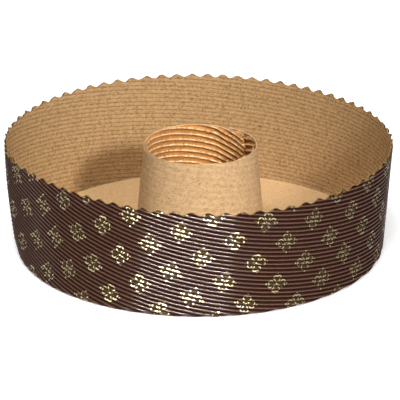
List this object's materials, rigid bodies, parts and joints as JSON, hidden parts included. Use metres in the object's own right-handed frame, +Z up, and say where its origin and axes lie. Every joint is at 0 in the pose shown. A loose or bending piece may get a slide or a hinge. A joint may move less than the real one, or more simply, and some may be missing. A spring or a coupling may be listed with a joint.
{
  "type": "paper savarin mould",
  "caption": "Ring-shaped corrugated paper baking case: fluted printed outer wall with a scalloped rim, flat base and an open tapered centre tube.",
  "frame": {"origin": "centre of the footprint, on the surface the mould stands on", "axes": "+Z up along the axis of the ring and of the centre tube, -Y to the front of the picture, +X to its right"},
  "size_m": [0.2199, 0.2197, 0.065],
  "materials": {
    "printed_board": "glossy dark brown print with pale gold flowers on single-face corrugated kraft board, bare kraft liner inside",
    "kraft_board": "matt unprinted kraft single-face corrugated board",
    "kraft_base": "matt unprinted kraft single-face corrugated board, smooth side up"
  },
  "bodies": {
    "root": {"side_wall": "printed_board", "centre_tube": "kraft_board", "base_disc": "kraft_base"}
  },
  "joints": []
}
